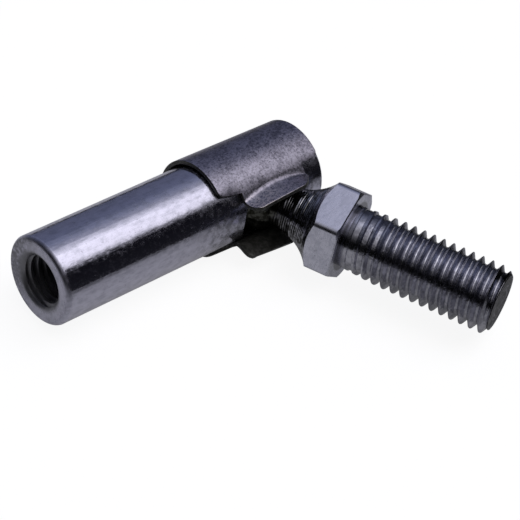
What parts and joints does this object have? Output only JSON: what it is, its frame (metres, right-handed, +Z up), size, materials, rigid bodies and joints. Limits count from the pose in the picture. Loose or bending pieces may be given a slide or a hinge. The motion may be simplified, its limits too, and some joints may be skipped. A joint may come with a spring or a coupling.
{
  "type": "angle ball joint",
  "caption": "Quick-release angle ball joint: a threaded round barrel holds a one-piece hex ball stud under a slotted spring sleeve that slides back to free it.",
  "frame": {"origin": "on the bar's axis where the rod thread starts, at the foot of the countersink in the barrel's threaded end", "axes": "+X along the barrel from the threaded end to the ball end, -Y the side the slot and the stud face, +Z up with barrel and stud lying level"},
  "size_m": [0.0553, 0.0469, 0.0144],
  "materials": {
    "barrel": "bright zinc plate on turned steel",
    "sleeve": "matt phosphated spring steel sheet",
    "ball_stud": "zinc plate on turned and milled steel"
  },
  "bodies": {
    "barrel": {"barrel": "barrel"},
    "sleeve": {"sleeve": "sleeve"},
    "ball_stud": {"ball_stud": "ball_stud"}
  },
  "joints": [
    {"name": "ball_swivel", "type": "hinge", "parent": "barrel", "child": "ball_stud", "pos_m": [0.0366, -0.0015, 0], "axis": [0, 0, 1], "range_deg": [-42.1, 1.8]},
    {"name": "sleeve_slide", "type": "slide", "parent": "barrel", "child": "sleeve", "axis": [-1, 0, 0], "range_m": [0, 0.012]}
  ]
}
